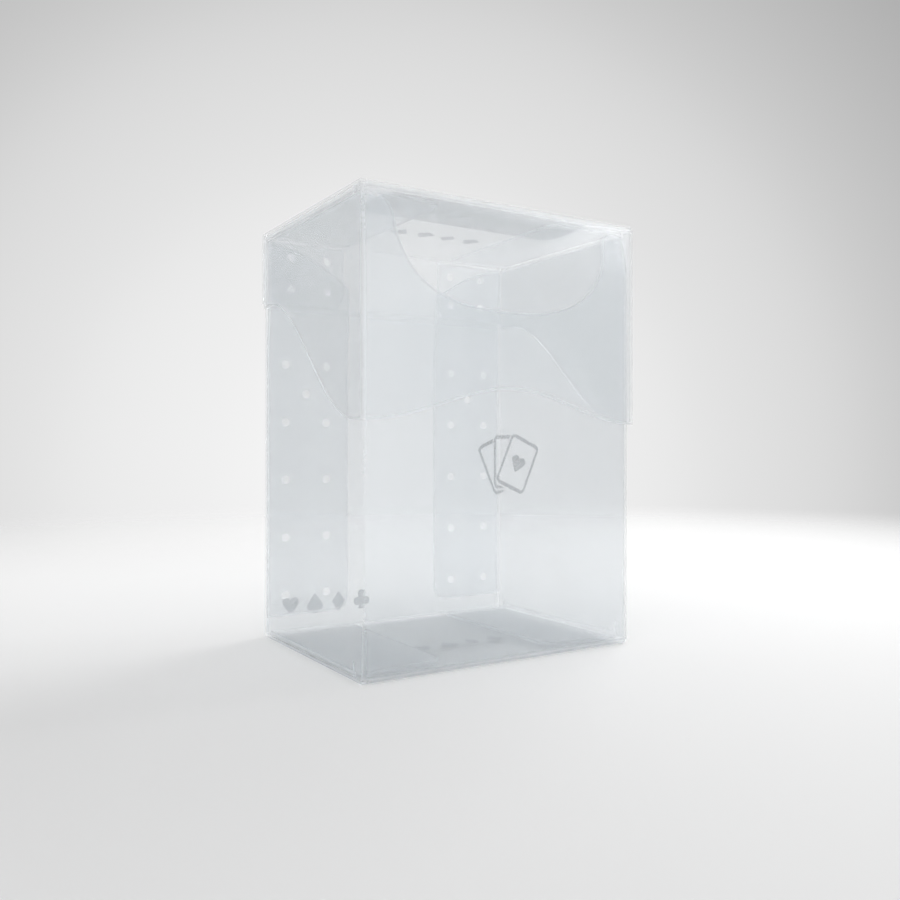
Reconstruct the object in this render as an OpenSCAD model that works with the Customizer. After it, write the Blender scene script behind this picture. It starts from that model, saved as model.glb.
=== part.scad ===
// Flip-top card deck box, folded from one die-cut sheet of frosted polypropylene.
// The box wrap, the floor and back, and the lid are panels joined at folded creases.
// Small fused spots hold the inner flaps, and a thinned crease across the back is the hinge.
// Millimetres. The front faces -Y, +X is the width, and the box stands on Z = 0.

/* [Sheet] */
// Thickness of the sheet
sheet_t = 0.6; // [0.4:0.05:0.8]
// Inside radius of a folded crease
crease_r = 0.4; // [0.2:0.05:0.6]
// Space between two sheets that lie on each other
layer_gap = 0.06; // [0.04:0.01:0.12]
// How far a free edge stops short of the corner that it runs along
edge_inset = 0.15; // [0.05:0.05:0.4]

/* [Box] */
// Outside width across the side panels
box_w = 70.3; // [58:0.1:90]
// Outside depth from the front panel's face to the back panel's face
box_d = 54; // [42:0.1:80]
// Height of the side panels' top edge
box_h = 97; // [80:0.5:120]

/* [Thumb notch] */
// Width of the notch at the box's top edge
notch_w = 56; // [30:1:62]
// Depth of the notch below the box's top edge
notch_d = 21; // [10:0.5:30]
// Squareness of the notch's curve, where 2 is an ellipse
notch_square = 2.6; // [2:0.1:4]
// Rounding of the two corners beside the notch
notch_lip_r = 3; // [1:0.25:3.5]

/* [Flaps of the box] */
// Width of a back flap, from the side panel's face
back_flap_w = 22; // [18:0.5:27]
// Height of a back flap's bottom edge above the floor
back_flap_foot = 4.7; // [2:0.1:8]
// How far a back flap's top edge falls towards its free side
back_flap_fall = 9.2; // [0:0.1:14]
// Rounding of the flaps' free corners
flap_corner_r = 3.5; // [1:0.25:5]
// Width of a bottom dust flap, from the side panel's face
base_flap_w = 21.5; // [14:0.5:27]
// Space between a bottom dust flap's ends and the front and back panels
base_flap_gap = 4.5; // [2:0.1:8]

/* [Lid] */
// Clearance between the lid's side panels and the box's
lid_side_gap = 0.25; // [0.1:0.05:0.6]
// Clearance between the lid's front panel and the box's
lid_front_gap = 0.6; // [0.3:0.05:1.2]
// Least clearance that is left when the lid's front panel swings past the box's front corners
lid_swing_gap = 0.2; // [0.1:0.05:0.25]
// Clearance between the box's top edge and the lid's dust flaps
lid_head_gap = 0.74; // [0.4:0.02:2]
// Length of the lid's front panel at its corners, from the lid's top
lid_front_l = 47; // [30:0.5:60]
// Rise of the arch in the lid's front edge
lid_arch = 7; // [0:0.25:12]
// Length of the lid's side panels at the back, from the lid's top
lid_side_l = 18.4; // [17.6:0.1:26]
// Length of the lid's back panel, from the hinge to the lid's top
lid_back_l = 17.5; // [12:0.1:18.2]
// Straight run of the lid's side edge at the front, before it curves up
lid_edge_front = 3; // [1:0.5:8]
// Straight run of the lid's side edge at the back, after it has curved up
lid_edge_back = 6.2; // [2:0.1:12]
// Width of a lid back flap, from the lid's side face
lid_back_flap_w = 21.7; // [18:0.1:27]
// Width of a lid dust flap, from the lid's side face
lid_dust_flap_w = 21; // [14:0.5:27]
// Space between a lid dust flap's ends and the lid's front and back panels
lid_dust_flap_gap = 4; // [2:0.1:8]

/* [Hinge] */
// Thickness of the thinned crease
hinge_t = 0.25; // [0.15:0.05:0.35]
// Height of the thinned crease
hinge_l = 1; // [0.6:0.1:2]
// Room between the lid's back flaps and the box's back flaps, where they pass
hinge_flap_gap = 0.28; // [0.2:0.02:0.6]

/* [Fused spots] */
// Diameter of a fused spot
spot_d = 2.2; // [1.5:0.1:3]
// Height of the lowest row of spots
spot_first = 9.7; // [8:0.1:14]
// Height from one row of spots to the next
spot_pitch = 14.4; // [10:0.1:20]
// Distance of the outer column from the side panel's face
spot_side = 5.2; // [4:0.1:7]
// Distance between the two columns
spot_columns = 11; // [8:0.1:13]
// Distance of the lid's upper row of spots from the lid's top
lid_spot_top = 4.9; // [4:0.1:6]
// Distance between the lid's two rows of spots
lid_spot_rows = 7.8; // [5:0.1:8.4]
// Distance of the lid's outer column from the lid's side face
lid_spot_side = 7.5; // [5:0.1:8]
// Distance between the lid's two columns
lid_spot_columns = 9.8; // [7:0.1:11]

/* [Label] */
// Width of the writing strip on the lid
label_w = 54.6; // [30:0.2:62]
// Depth of the writing strip, front to back
label_d = 16.7; // [8:0.1:25]
// Distance of the strip from the lid's front face
label_front = 5.5; // [3:0.1:12]
// Thickness of the strip, which lies in a shallow field of the lid's top
label_t = 0.1; // [0.05:0.01:0.2]
// Rounding of the strip's corners
label_r = 3; // [1:0.25:6]

/* [Print] */
// Thickness of the printed ink
ink_t = 0.03; // [0.01:0.01:0.03]
// Height of the front picture's middle above the floor
front_print_z = 43.5; // [20:0.5:45]
// Height of one card in the front picture, a fan of three cards
front_card_h = 11.5; // [6:0.5:14]
// Width of one suit sign in the rows on the back, the base and the lid
sign_w = 4.4; // [2:0.2:6]
// Distance from one suit sign to the next
sign_pitch = 6.6; // [6:0.2:8]
// Distance of the back's row of signs from the left side panel's face, to its middle
back_print_side = 16.7; // [14:0.1:30]
// Height of the back's row of signs above the floor
back_print_z = 6.8; // [4:0.1:30]
// Distance of the base's row of signs from the box's front face
base_print_front = 19.5; // [8:0.5:30]
// Distance of the lid's row of signs from the lid's front face
lid_print_front = 31.5; // [26:0.5:42]

/* [Hidden] */
$fn = 48;

// Outer radius of a folded crease, and the step from one sheet's face to the next sheet's
bend_r = crease_r + sheet_t;
layer = sheet_t + layer_gap;
// Overall size: the lid is the widest part, and the lid's and the box's backs are in line
lid_w = box_w + 2 * (lid_side_gap + sheet_t);
all_d = box_d + lid_front_gap + sheet_t;
all_h = box_h + lid_head_gap + layer + sheet_t;
back_y = all_d / 2;
box_front_y = back_y - box_d;
lid_front_y = -all_d / 2;
hinge_z = all_h - lid_back_l;
// The lid's front panel passes the box at swing_r from the hinge, so that the box's front
// leans in above lean_front_z, and keeps inside that circle up to its top edge
swing_r = box_d + lid_front_gap - lid_swing_gap;
lean_front_z = hinge_z + sqrt(pow(swing_r, 2) - pow(box_d, 2));
lean_front = box_d - sqrt(pow(swing_r, 2) - pow(box_h - hinge_z, 2));
// The flaps at the back lie on the back panel up to lean_z, then lean in to let the lid's flaps by
flap_y = back_y - layer;
lean = layer + hinge_flap_gap;
lean_top_z = hinge_z + hinge_l / 2;
spot_rows = floor((lean_top_z - 8 - spot_first) / spot_pitch) + 1;
lean_z = spot_first + (spot_rows - 1) * spot_pitch + spot_d;
// The edges of the lid
lid_corner_z = all_h - lid_front_l;
lid_side_back_z = all_h - lid_side_l;
lid_flap_z = lean_top_z + edge_inset;
// Number of straight steps along a curved edge
edge_steps = 32;

BOX_PP = [0.84, 0.88, 0.89, 0.5];
LID_PP = [0.80, 0.85, 0.87, 0.5];
SPOT_PP = [0.95, 0.97, 0.98, 0.8];
LABEL_GREY = [0.66, 0.70, 0.71, 0.6];
INK_GREY = [0.62, 0.65, 0.66];

// Runs smoothly from 0 to 1 as s goes from 0 to 1, and stays level outside
function ease(s) = (1 - cos(180 * min(1, max(0, s)))) / 2;

// A point of the thumb notch, on a superellipse: s runs from its rim, 0, to its lowest point, 1
function notch_point(side, s) = [
    side * notch_w / 2 * pow(cos(90 * s), 2 / notch_square),
    box_h - notch_d * pow(sin(90 * s), 2 / notch_square)];

// Height of the lid's side edge at a distance v behind the lid's front face
function lid_edge_z(v) = lid_corner_z + (lid_side_back_z - lid_corner_z)
    * ease((v - lid_edge_front) / (all_d - lid_edge_front - lid_edge_back));

// Plates: the 2D children become a sheet of a given thickness that starts at a plane
module plate_xz(y, t = sheet_t) {
    translate([0, y + t, 0]) rotate([90, 0, 0]) linear_extrude(t) children();
}

module plate_yz(x, t = sheet_t) {
    translate([x, 0, 0]) rotate([90, 0, 90]) linear_extrude(t) children();
}

module plate_xy(z, t = sheet_t) {
    translate([0, 0, z]) linear_extrude(t) children();
}

// Section of a folded crease: a quarter of a ring in the quadrant of the signs sx and sy
module crease(sx, sy) {
    intersection() {
        difference() {
            circle(r = bend_r);
            circle(r = crease_r);
        }
        translate([sx > 0 ? 0 : -bend_r, sy > 0 ? 0 : -bend_r]) square(bend_r);
    }
}

// What rounding takes off a corner at the origin that fills the first quadrant
module corner_cut(r) {
    difference() {
        translate([-1, -1]) square(r + 1);
        translate([r, r]) circle(r = r);
    }
}

// A rectangle from one corner to the other, rounded at the corners of its free side, x = x1
module flap_outline(x0, x1, y0, y1, r) {
    side = x1 > x0 ? 1 : -1;
    difference() {
        polygon([[x0, y0], [x1, y0], [x1, y1], [x0, y1]]);
        for (end = [[y0, 1], [y1, -1]])
            translate([x1, end[0]]) scale([-side, end[1]]) corner_cut(r);
    }
}

// The same on both sides: side is -1 on the left and 1 on the right
module mirrored(side) {
    scale([side, 1, 1]) children();
}

module fused_spot(x, y, z, t) {
    translate([x, y, z]) rotate([-90, 0, 0]) cylinder(d = spot_d, h = t);
}

// ---- Box ----

module thumb_notch() {
    polygon(concat(
        [for (i = [0:edge_steps]) notch_point(-1, i / edge_steps)],
        [for (i = [edge_steps - 1:-1:0]) notch_point(1, i / edge_steps)],
        [[notch_w / 2, box_h + 1], [-notch_w / 2, box_h + 1]]));
    for (side = [-1, 1])
        translate([side * notch_w / 2, box_h]) scale([side, -1]) corner_cut(notch_lip_r);
}

// Upright up to lean_front_z, with a rounded crease on each side, and leaning in above it
module box_front_panel() {
    half = box_w / 2 - bend_r;
    color(BOX_PP) {
        plate_xz(box_front_y) difference() {
            translate([-half, bend_r]) square([2 * half, lean_front_z - bend_r]);
            thumb_notch();
        }
        for (side = [-1, 1])
            translate([side * half, box_front_y + bend_r, layer + bend_r])
                linear_extrude(lean_front_z - layer - bend_r) crease(side, -1);
        difference() {
            plate_yz(-box_w / 2, box_w) translate([box_front_y, 0]) polygon([
                [0, lean_front_z], [lean_front, box_h], [lean_front + sheet_t, box_h], [sheet_t, lean_front_z]]);
            plate_xz(box_front_y - 1, lean_front + sheet_t + 2) thumb_notch();
        }
    }
}

module box_side_panel(side) {
    front = box_front_y + bend_r;
    color(BOX_PP) mirrored(side) plate_yz(box_w / 2 - sheet_t) polygon([
        [front, layer + bend_r], [flap_y, layer + bend_r], [flap_y, lean_z],
        [flap_y - lean, lean_top_z], [flap_y - lean, box_h],
        [box_front_y + lean_front + sheet_t, box_h], [box_front_y + sheet_t, lean_front_z],
        [front, lean_front_z]]);
}

module box_back_flap(side) {
    inner = box_w / 2 - sheet_t;
    free = box_w / 2 - back_flap_w;
    color(BOX_PP) mirrored(side) intersection() {
        plate_yz(free, inner - free) polygon([
            [flap_y, back_flap_foot], [flap_y, lean_z], [flap_y - lean, lean_top_z],
            [flap_y - lean, box_h + 1], [flap_y - lean - sheet_t, box_h + 1],
            [flap_y - lean - sheet_t, lean_top_z], [flap_y - sheet_t, lean_z],
            [flap_y - sheet_t, back_flap_foot]]);
        plate_xz(flap_y - lean - 2 * sheet_t, lean + 3 * sheet_t) intersection() {
            flap_outline(inner, free, back_flap_foot, box_h + 2 * flap_corner_r, flap_corner_r);
            polygon(concat([[inner, 0], [inner, box_h]],
                [for (i = [0:edge_steps]) let (s = i / edge_steps)
                    [inner + (free - inner) * s, box_h - back_flap_fall * (1 - cos(90 * s))]],
                [[free, 0]]));
        }
    }
}

module box_back_panel() {
    half = box_w / 2 - edge_inset;
    color(BOX_PP) plate_xz(back_y - sheet_t) translate([-half, bend_r])
        square([2 * half, hinge_z - hinge_l / 2 - bend_r]);
}

module box_base_panel() {
    half = box_w / 2 - edge_inset;
    color(BOX_PP) {
        plate_xy(0) translate([-half, box_front_y + bend_r]) square([2 * half, box_d - 2 * bend_r]);
        plate_yz(-half + bend_r, 2 * (half - bend_r))
            translate([box_front_y + bend_r, bend_r]) crease(-1, -1);
        plate_yz(-half, 2 * half) translate([back_y - bend_r, bend_r]) crease(1, -1);
    }
}

module box_base_flap(side) {
    root = box_w / 2 - bend_r;
    front = box_front_y + base_flap_gap;
    back = back_y - base_flap_gap;
    color(BOX_PP) mirrored(side) {
        plate_xy(layer) flap_outline(root, box_w / 2 - base_flap_w, front, back, flap_corner_r);
        plate_xz(front, back - front) translate([root, layer + bend_r]) crease(1, -1);
    }
}

// Two columns of spots in even rows, and one more in the middle of the two top rows
module box_fused_spots(side) {
    outer = box_w / 2 - spot_side;
    color(SPOT_PP) mirrored(side) {
        for (row = [0:spot_rows - 1], column = [0, 1])
            fused_spot(outer - column * spot_columns, flap_y, spot_first + row * spot_pitch, layer_gap);
        fused_spot(outer - spot_columns / 2, flap_y,
            spot_first + (spot_rows - 1.5) * spot_pitch, layer_gap);
    }
}

module living_hinge() {
    half = box_w / 2 - edge_inset;
    color(SPOT_PP) plate_xz(back_y - hinge_t, hinge_t) translate([-half, hinge_z - hinge_l / 2])
        square([2 * half, hinge_l]);
}

// ---- Lid ----

module lid_back_panel() {
    half = lid_w / 2 - edge_inset;
    color(LID_PP) plate_xz(back_y - sheet_t) translate([-half, lean_top_z])
        square([2 * half, all_h - bend_r - lean_top_z]);
}

module lid_top_panel() {
    half = lid_w / 2 - edge_inset;
    color(LID_PP) {
        difference() {
            plate_xy(all_h - sheet_t) translate([-half, lid_front_y + bend_r])
                square([2 * half, all_d - 2 * bend_r]);
            plate_xy(all_h - label_t, 2 * label_t) label_outline();
        }
        plate_yz(-half + bend_r, 2 * (half - bend_r))
            translate([lid_front_y + bend_r, all_h - bend_r]) crease(-1, 1);
        plate_yz(-half, 2 * half) translate([back_y - bend_r, all_h - bend_r]) crease(1, 1);
    }
}

module lid_front_panel() {
    half = lid_w / 2 - bend_r;
    color(LID_PP) {
        plate_xz(lid_front_y) polygon(concat(
            [for (i = [0:edge_steps]) let (s = i / edge_steps)
                [half * (2 * s - 1), lid_corner_z + lid_arch * (1 - cos(360 * s)) / 2]],
            [[half, all_h - bend_r], [-half, all_h - bend_r]]));
        for (side = [-1, 1])
            translate([side * half, lid_front_y + bend_r, lid_corner_z])
                linear_extrude(all_h - layer - bend_r - lid_corner_z) crease(side, -1);
    }
}

module lid_side_panel(side) {
    front = bend_r;
    back = all_d - layer;
    top = all_h - layer - bend_r;
    color(LID_PP) mirrored(side) plate_yz(lid_w / 2 - sheet_t) translate([lid_front_y, 0]) polygon(concat(
        [for (i = [0:edge_steps]) let (v = front + (back - front) * i / edge_steps) [v, lid_edge_z(v)]],
        [[back, top], [front, top]]));
}

module lid_back_flap(side) {
    root = lid_w / 2 - sheet_t;
    free = lid_w / 2 - lid_back_flap_w;
    top = all_h - 2 * layer;
    bevel = flap_corner_r / 2;
    color(LID_PP) mirrored(side) plate_xz(flap_y - sheet_t) polygon([
        [root, lid_flap_z], [free + bevel, lid_flap_z], [free, lid_flap_z + 2 * bevel],
        [free, top], [root, top]]);
}

module lid_dust_flap(side) {
    root = lid_w / 2 - bend_r;
    front = lid_front_y + lid_dust_flap_gap;
    back = back_y - lid_dust_flap_gap;
    color(LID_PP) mirrored(side) {
        plate_xy(all_h - layer - sheet_t)
            flap_outline(root, lid_w / 2 - lid_dust_flap_w, front, back, flap_corner_r);
        plate_xz(front, back - front) translate([root, all_h - layer - bend_r]) crease(1, 1);
    }
}

module lid_fused_spots(side) {
    color(SPOT_PP) mirrored(side) for (row = [0, 1], column = [0, 1])
        fused_spot(lid_w / 2 - lid_spot_side - column * lid_spot_columns, flap_y,
            all_h - lid_spot_top - row * lid_spot_rows, layer_gap);
}

module label_outline() {
    translate([-label_w / 2 + label_r, lid_front_y + label_front + label_r]) {
        translate([-label_r, 0]) square([label_w, label_d - 2 * label_r]);
        translate([0, -label_r]) square([label_w - 2 * label_r, label_d]);
        for (x = [0, label_w - 2 * label_r], y = [0, label_d - 2 * label_r])
            translate([x, y]) circle(r = label_r);
    }
}

module lid_label_strip() {
    color(LABEL_GREY) plate_xy(all_h - label_t, label_t) label_outline();
}

// ---- Print ----

module diamond_sign() {
    polygon([[0, -0.6], [0.42, 0], [0, 0.6], [-0.42, 0]]);
}

// Two round lobes over a point
module heart_sign() {
    for (side = [-1, 1]) translate([side * 0.24, 0.2]) circle(r = 0.26);
    polygon([[0, -0.55], [0.46, 0.06], [0.2, 0.3], [-0.2, 0.3], [-0.46, 0.06]]);
}

module stem() {
    polygon([[-0.2, -0.58], [0.2, -0.58], [0.03, 0.05], [-0.03, 0.05]]);
}

module spade_sign() {
    translate([0, 0.05]) mirror([0, 1]) heart_sign();
    stem();
}

module club_sign() {
    for (spot = [[-0.27, -0.12], [0.27, -0.12], [0, 0.3]]) translate(spot) circle(r = 0.25);
    polygon([[-0.2, -0.2], [0.2, -0.2], [0.1, 0.2], [-0.1, 0.2]]);
    stem();
}

// Suit signs one unit wide, in a row of four
module suit_row() {
    for (i = [0:3]) translate([(i - 1.5) * sign_pitch, 0]) scale(sign_w) {
        if (i == 0) heart_sign();
        if (i == 1) spade_sign();
        if (i == 2) diamond_sign();
        if (i == 3) club_sign();
    }
}

module card_outline(h, r) {
    w = h * 0.7;
    translate([-w / 2 + r, r]) {
        translate([-r, 0]) square([w, h - 2 * r]);
        translate([0, -r]) square([w - 2 * r, h]);
        for (x = [0, w - 2 * r], y = [0, h - 2 * r]) translate([x, y]) circle(r = r);
    }
}

// A fan of three cards as line art: each card in front cuts the line of the one behind it
module card_fan() {
    line = front_card_h * 0.07;
    turn = 24;
    for (i = [0:2]) difference() {
        rotate(turn * (1 - i)) card_outline(front_card_h, 3 * line / 2);
        rotate(turn * (1 - i)) translate([0, line]) card_outline(front_card_h - 2 * line, line / 2);
        if (i < 2) for (k = [i + 1:2])
            rotate(turn * (1 - k)) translate([0, -line / 2]) card_outline(front_card_h + line, 2 * line);
    }
    rotate(-turn) translate([0, front_card_h / 2]) scale(front_card_h * 0.32) heart_sign();
}

module front_print() {
    color(INK_GREY) plate_xz(box_front_y - ink_t, ink_t)
        translate([0, front_print_z - front_card_h / 2]) card_fan();
}

module back_print() {
    color(INK_GREY) plate_xz(back_y, ink_t)
        translate([back_print_side - box_w / 2, back_print_z]) suit_row();
}

module base_print() {
    color(INK_GREY) plate_xy(sheet_t, ink_t)
        translate([0, box_front_y + base_print_front]) suit_row();
}

module lid_print() {
    color(INK_GREY) plate_xy(all_h - sheet_t - ink_t, ink_t)
        translate([0, lid_front_y + lid_print_front]) suit_row();
}

box_front_panel();
box_side_panel(-1);  // box_left_side_panel
box_side_panel(1);  // box_right_side_panel
box_back_flap(-1);  // box_left_back_flap
box_back_flap(1);  // box_right_back_flap
box_back_panel();
box_base_panel();
box_base_flap(-1);  // box_left_base_flap
box_base_flap(1);  // box_right_base_flap
box_fused_spots(-1);  // box_left_fused_spots
box_fused_spots(1);  // box_right_fused_spots
living_hinge();
lid_back_panel();
lid_top_panel();
lid_front_panel();
lid_side_panel(-1);  // lid_left_side_panel
lid_side_panel(1);  // lid_right_side_panel
lid_back_flap(-1);  // lid_left_back_flap
lid_back_flap(1);  // lid_right_back_flap
lid_dust_flap(-1);  // lid_left_dust_flap
lid_dust_flap(1);  // lid_right_dust_flap
lid_fused_spots(-1);  // lid_left_fused_spots
lid_fused_spots(1);  // lid_right_fused_spots
lid_label_strip();
front_print();
back_print();
base_print();
lid_print();
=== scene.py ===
"""A flip-top card deck box, folded from one sheet of frosted polypropylene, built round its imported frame."""

import math

import bpy
import numpy as np
from bpy.props import FloatProperty, FloatVectorProperty, PointerProperty
from bpy.types import Operator, Panel, PropertyGroup
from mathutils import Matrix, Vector


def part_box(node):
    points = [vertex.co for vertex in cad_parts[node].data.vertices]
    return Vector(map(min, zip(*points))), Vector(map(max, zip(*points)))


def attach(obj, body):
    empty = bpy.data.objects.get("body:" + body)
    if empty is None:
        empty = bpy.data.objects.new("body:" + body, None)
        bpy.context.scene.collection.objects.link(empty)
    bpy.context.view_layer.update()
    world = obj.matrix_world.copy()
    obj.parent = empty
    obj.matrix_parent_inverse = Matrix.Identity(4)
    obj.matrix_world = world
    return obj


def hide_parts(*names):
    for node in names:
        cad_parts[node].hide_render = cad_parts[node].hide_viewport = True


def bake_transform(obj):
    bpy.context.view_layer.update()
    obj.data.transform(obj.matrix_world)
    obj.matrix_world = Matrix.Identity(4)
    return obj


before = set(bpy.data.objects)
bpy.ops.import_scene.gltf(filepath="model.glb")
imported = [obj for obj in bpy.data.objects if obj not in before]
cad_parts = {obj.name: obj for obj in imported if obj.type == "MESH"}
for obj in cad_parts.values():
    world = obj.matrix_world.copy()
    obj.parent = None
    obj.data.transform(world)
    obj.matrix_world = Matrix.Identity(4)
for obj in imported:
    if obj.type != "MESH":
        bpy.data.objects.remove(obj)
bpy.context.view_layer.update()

bl_info = {
    "name": "Card Deck Box",
    "version": (1, 0, 0),
    "blender": (4, 5, 0),
    "location": "View3D > Sidebar > Deck Box",
    "description": "Builds a frosted flip-top card deck box, its print, its finishes and its studio",
    "category": "Object",
}

MM = 0.001
# A step between two edges of one sheet, such as beside a flap
STEP = 0.1 * MM
# How far in from a cut edge its brightness fades
RIM = 0.25 * MM
# Room that is left when the lid's front panel swings past the box's front corners
SWING_ROOM = 0.2 * MM
# How far along a side panel the lean of the front and of the back flap reach
FRONT_FADE = 16 * MM
BACK_FADE = 12 * MM
# How much deeper the label's field is than the label
FIELD_ROOM = 0.02 * MM
# How far the studio floor is below the box
FLOOR_DROP = 0.15 * MM

# Places and sizes read from the frame, in metres
BASE_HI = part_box("box_base_panel")[1]
BACK_LO, BACK_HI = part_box("box_back_panel")
FRONT_LO, FRONT_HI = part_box("box_front_panel")
FLAP_LO, FLAP_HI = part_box("box_right_back_flap")
FLOOR_FLAP_LO, FLOOR_FLAP_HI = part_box("box_right_base_flap")
HINGE_LO, HINGE_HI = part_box("living_hinge")
LID_TOP_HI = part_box("lid_top_panel")[1]
LID_FRONT_LO, LID_FRONT_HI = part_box("lid_front_panel")
LID_SIDE_LO, LID_SIDE_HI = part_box("lid_right_side_panel")
LID_FLAP_LO, LID_FLAP_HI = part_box("lid_right_back_flap")
LID_DUST_LO, LID_DUST_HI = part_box("lid_right_dust_flap")
LABEL_LO, LABEL_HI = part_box("lid_label_strip")

SHEET = BACK_HI[1] - BACK_LO[1]
WEB = HINGE_HI[1] - HINGE_LO[1]
BEND = FRONT_LO[2]
LAYER = FLOOR_FLAP_LO[2]
HALF_W = FRONT_HI[0]
FRONT_Y = FRONT_LO[1]
BACK_Y = BACK_HI[1]
BOX_H = FRONT_HI[2]
FLAP_Y = FLAP_HI[1]
LID_HALF_W = LID_FRONT_HI[0]
LID_FRONT_Y = LID_FRONT_LO[1]
TOP_Z = LID_TOP_HI[2]
HINGE_Z = (HINGE_LO[2] + HINGE_HI[2]) / 2
BOX_D = BACK_Y - FRONT_Y
# The box's front corners keep inside the circle that the lid's front panel swings on
SWING_R = BOX_D + (FRONT_Y - LID_FRONT_Y - SHEET) - SWING_ROOM


# ---- Curves and grids -------------------------------------------------------------------------

def ease(s):
    """Rises from 0 to 1 as half a cosine wave while s goes from 0 to 1, and is level outside."""
    return (1 - np.cos(np.pi * np.clip(s, 0, 1))) / 2


def corner_rise(distance, radius):
    """How much a rounded corner takes off an edge, at a distance from the free side: a quarter circle."""
    d = np.clip(distance, 0, radius)
    return radius - np.sqrt(np.maximum(radius**2 - (radius - d) ** 2, 0))


def dense(*parts):
    """One sorted array of the places in parts, without repeats."""
    return np.unique(np.round(np.concatenate([np.atleast_1d(p) for p in parts]), 7))


def toward(edge, reach, count=12):
    """Places from edge out to edge + reach, close together at the edge, as a square."""
    return edge + reach * np.linspace(0, 1, count) ** 2


def folded_path(corners, radius, arc_steps=10):
    """A line through corners, each turned into an arc of a radius, as its points, outward normals, the
    distance along it and how near each point is to the middle of a fold, from 0 to 1.

    Each arc is centre + radius * (cos, sin) of an angle that runs evenly between the two normals."""
    corners = np.asarray(corners, float)
    heading = np.diff(corners, axis=0)
    heading /= np.linalg.norm(heading, axis=1)[:, None]
    # A path is walked with its outer face on the right
    normal = np.stack([heading[:, 1], -heading[:, 0]], axis=1)
    points, normals, folds = [corners[:1]], [normal[:1]], [np.zeros(1)]
    for i in range(1, len(corners) - 1):
        a, b = normal[i - 1], normal[i]
        turn = a[0] * b[1] - a[1] * b[0]
        centre = corners[i] - radius * (a + b) / (1 + a @ b)
        start = math.atan2(a[1], a[0])
        angle = start + math.asin(np.clip(turn, -1, 1)) * np.linspace(0, 1, arc_steps + 1)
        ring = np.stack([np.cos(angle), np.sin(angle)], axis=1)
        points.append(centre + radius * ring)
        normals.append(ring)
        folds.append(np.sin(np.pi * np.linspace(0, 1, arc_steps + 1)) ** 0.5)
    points.append(corners[-1:])
    normals.append(normal[-1:])
    folds.append(np.zeros(1))
    points, normals, folds = map(np.concatenate, (points, normals, folds))
    along = np.concatenate([[0], np.cumsum(np.linalg.norm(np.diff(points, axis=0), axis=1))])
    return points, normals, along, folds


class Wrap:
    """A folded path that can be read at any distance along it."""

    def __init__(self, corners, radius):
        self.points, self.normals, self.along, self.folds = folded_path(corners, radius)
        self.length = self.along[-1]

    def at(self, s):
        """Points, normals and fold shares at the distances s, between the path's own points."""
        read = lambda values: np.interp(s, self.along, values)
        points = np.stack([read(self.points[:, 0]), read(self.points[:, 1])], axis=1)
        normals = np.stack([read(self.normals[:, 0]), read(self.normals[:, 1])], axis=1)
        normals /= np.linalg.norm(normals, axis=1)[:, None]
        return points, normals, read(self.folds)


def closed_sheet(name, outer, inner, fold):
    """A closed solid between two grids of points, outer and inner, each rows x columns x 3.

    Both grids give one skin each, and four strips close their borders. Two attributes go with its points:
    fold is 1 in the middle of a crease, and rim falls from 1 on the cut edge as exp(-distance / RIM)."""
    rows, columns = outer.shape[:2]
    count = rows * columns
    index = np.arange(count).reshape(rows, columns)
    quads = np.stack([index[:-1, :-1], index[:-1, 1:], index[1:, 1:], index[1:, :-1]], axis=-1).reshape(-1, 4)
    border = np.concatenate([index[0, :-1], index[:-1, -1], index[-1, :0:-1], index[:0:-1, 0]])
    following = np.roll(border, -1)
    strips = np.stack([border, border + count, following + count, following], axis=1)
    faces = np.concatenate([quads, quads[:, ::-1] + count, strips])
    points = np.concatenate([outer.reshape(-1, 3), inner.reshape(-1, 3)])
    a, b, c, d = (points[faces[:, i]] for i in range(4))
    volume = (a * np.cross(b, c)).sum() + (a * np.cross(c, d)).sum()
    if volume < 0:
        faces = faces[:, ::-1]
    skin = points[:count]
    square = (skin**2).sum(1)
    apart = square[:, None] + square[border][None, :] - 2 * skin @ skin[border].T
    rim = np.exp(-np.sqrt(np.maximum(apart.min(axis=1), 0)) / RIM)
    mesh = bpy.data.meshes.new(name)
    mesh.from_pydata(points, [], faces)
    for label, values in (("fold", np.broadcast_to(fold, (rows, columns)).reshape(-1)), ("rim", rim)):
        layer = mesh.attributes.new(label, "FLOAT", "POINT")
        layer.data.foreach_set("value", np.tile(values, 2).astype(np.float32))
    mesh.polygons.foreach_set("use_smooth", np.ones(len(faces), bool))
    mesh.update()
    mesh.set_sharp_from_angle(angle=math.radians(50))
    piece = bpy.data.objects.new(name, mesh)
    bpy.context.scene.collection.objects.link(piece)
    return piece


def standing_sheet(name, wrap, s, low, high, rows, shift):
    """A sheet that stands up: a path in plan is carried from the height low(s) to high(s).

    Point (s, t) is path(s) at the height low + (high - low) * t, moved by shift(x, y, z, normal).
    t takes the values in rows. The inner skin is the outer one moved back along the path's normal."""
    plan, normal, fold = wrap.at(s)
    t = rows[:, None]
    z = low[None, :] + (high - low)[None, :] * t
    x = np.broadcast_to(plan[:, 0], z.shape)
    y = np.broadcast_to(plan[:, 1], z.shape)
    normal = np.stack([normal[:, 0], normal[:, 1], np.zeros(len(s))], axis=-1)
    normal = np.broadcast_to(normal, z.shape + (3,))
    outer = np.stack([x, y, z], axis=-1) + shift(x, y, z, normal)
    return closed_sheet(name, outer, outer - SHEET * normal, fold)


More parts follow.
